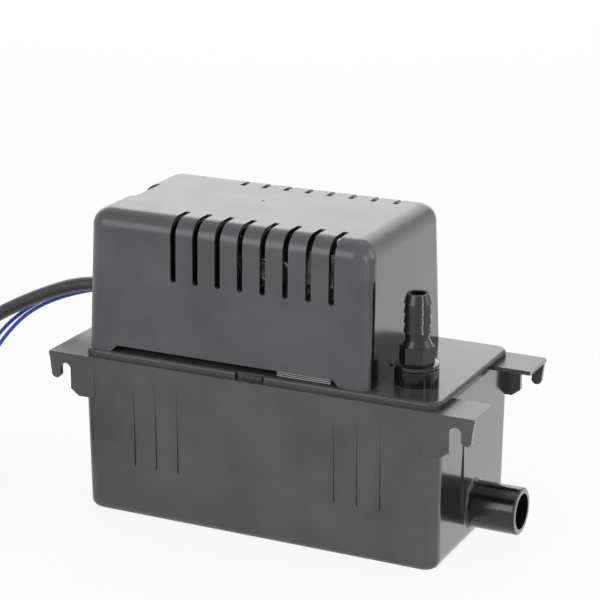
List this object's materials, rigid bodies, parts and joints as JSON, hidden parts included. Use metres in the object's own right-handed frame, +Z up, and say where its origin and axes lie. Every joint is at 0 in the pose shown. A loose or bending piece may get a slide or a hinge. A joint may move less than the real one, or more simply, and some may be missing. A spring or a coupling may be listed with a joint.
{
  "type": "condensate pump",
  "caption": "Automatic condensate pump: a hanging water tank with a drain spigot, a vented motor cover on its lid, a float with switches and a barbed check valve.",
  "frame": {"origin": "centre of the flat face under the tank", "axes": "+Z up, +X along the tank towards the drain spigot and the outlet riser, +Y towards the side away from the outlet riser"},
  "size_m": [0.4124, 0.2024, 0.1783],
  "materials": {
    "tank_plastic": "moulded black plastic, satin sides and a glossier end",
    "lid_plastic": "glossy moulded black plastic",
    "cover_plastic": "moulded black plastic, satin front and glossy end",
    "zinc": "bright zinc plated steel",
    "lamination": "stacked steel sheets",
    "bobbin_plastic": "natural nylon",
    "coil_tape": "yellow polyester tape over the winding",
    "copper": "bare copper",
    "rotor_steel": "turned laminated rotor with cast end rings",
    "shaft_steel": "ground steel",
    "bracket_metal": "die-cast zinc alloy",
    "bronze": "oil-filled sintered bronze",
    "fan_plastic": "natural moulded nylon",
    "pump_plastic": "moulded black plastic",
    "impeller_plastic": "moulded glass-filled plastic",
    "hose": "dark vinyl hose",
    "seal": "black nitrile rubber",
    "valve_plastic": "glossy moulded black plastic",
    "ball_rubber": "black rubber ball",
    "float_plastic": "expanded closed-cell plastic",
    "rod_steel": "stainless steel rod",
    "collar_plastic": "natural nylon",
    "guide_plastic": "natural acetal",
    "plate_steel": "folded plated steel",
    "lever_plastic": "natural acetal",
    "switch_plastic": "black phenolic switch case",
    "plunger_plastic": "red switch plunger",
    "terminal_metal": "tinned brass spades",
    "relief_rubber": "black moulded vinyl",
    "green_wire": "green wire insulation",
    "white_wire": "white wire insulation",
    "black_wire": "black wire insulation",
    "cord_jacket": "black vinyl cord jacket",
    "plug_rubber": "black moulded vinyl",
    "plug_brass": "plated brass",
    "blue_wire": "blue wire insulation"
  },
  "bodies": {
    "pump_body": {"tank": "tank_plastic", "lid": "lid_plastic", "cover": "cover_plastic", "cover_screws": "zinc", "stator_stack": "lamination", "coil_bobbin": "bobbin_plastic", "motor_coil": "coil_tape", "shading_rings": "copper", "upper_bracket": "bracket_metal", "lower_bracket": "bracket_metal", "upper_bearing": "bronze", "lower_bearing": "bronze", "motor_screws": "zinc", "pump_housing": "pump_plastic", "column_screws": "zinc", "volute_cover": "pump_plastic", "volute_screws": "zinc", "discharge_tube": "hose", "valve_o_ring": "seal", "check_valve_body": "valve_plastic", "rod_guide": "guide_plastic", "switch_bracket": "plate_steel", "bracket_screws": "zinc", "lever_pin": "shaft_steel", "pump_switch": "switch_plastic", "safety_switch": "switch_plastic", "switch_terminals": "terminal_metal", "switch_screws": "zinc", "strain_relief": "relief_rubber", "lead_grommet": "relief_rubber", "earth_wire": "green_wire", "neutral_wire": "white_wire", "live_wire": "black_wire", "power_cord_tube": "cord_jacket", "power_cord_coil": "cord_jacket", "plug_body": "plug_rubber", "plug_blades": "plug_brass", "plug_ground_pin": "plug_brass", "safety_lead_a": "blue_wire", "safety_lead_b": "blue_wire", "lead_bare_ends": "copper"},
    "rotor_unit": {"rotor": "rotor_steel", "motor_shaft": "shaft_steel", "cooling_fan": "fan_plastic", "impeller": "impeller_plastic"},
    "float_unit": {"float": "float_plastic", "float_rod": "rod_steel", "rod_collars": "collar_plastic"},
    "lever": {"switch_lever": "lever_plastic"},
    "pump_button": {"pump_plunger": "plunger_plastic"},
    "safety_button": {"safety_plunger": "plunger_plastic"},
    "valve_ball": {"check_ball": "ball_rubber"}
  },
  "joints": [
    {"name": "motor_spin", "type": "hinge", "parent": "pump_body", "child": "rotor_unit", "pos_m": [0.032, -0.009, 0], "axis": [0, 0, 1], "continuous": true},
    {"name": "float_slide", "type": "slide", "parent": "pump_body", "child": "float_unit", "axis": [0, 0, 1], "range_m": [0, 0.016]},
    {"name": "lever_swing", "type": "hinge", "parent": "pump_body", "child": "lever", "pos_m": [-0.022, 0, 0.118], "axis": [0, 1, 0], "range_deg": [0, 19.2]},
    {"name": "pump_plunger_slide", "type": "slide", "parent": "pump_body", "child": "pump_button", "axis": [0, 0, 1], "range_m": [0, 0.00205]},
    {"name": "safety_plunger_slide", "type": "slide", "parent": "pump_body", "child": "safety_button", "axis": [0, 0, 1], "range_m": [0, 0.00205]},
    {"name": "ball_lift", "type": "slide", "parent": "pump_body", "child": "valve_ball", "axis": [0, 0, 1], "range_m": [0, 0.0035]}
  ],
  "couplings": [
    {"joint": "lever_swing", "follows": "float_slide", "rad_per_m": 20.833},
    {"joint": "pump_plunger_slide", "follows": "float_slide", "ratio": 0.125},
    {"joint": "safety_plunger_slide", "follows": "float_slide", "ratio": 0.125}
  ]
}
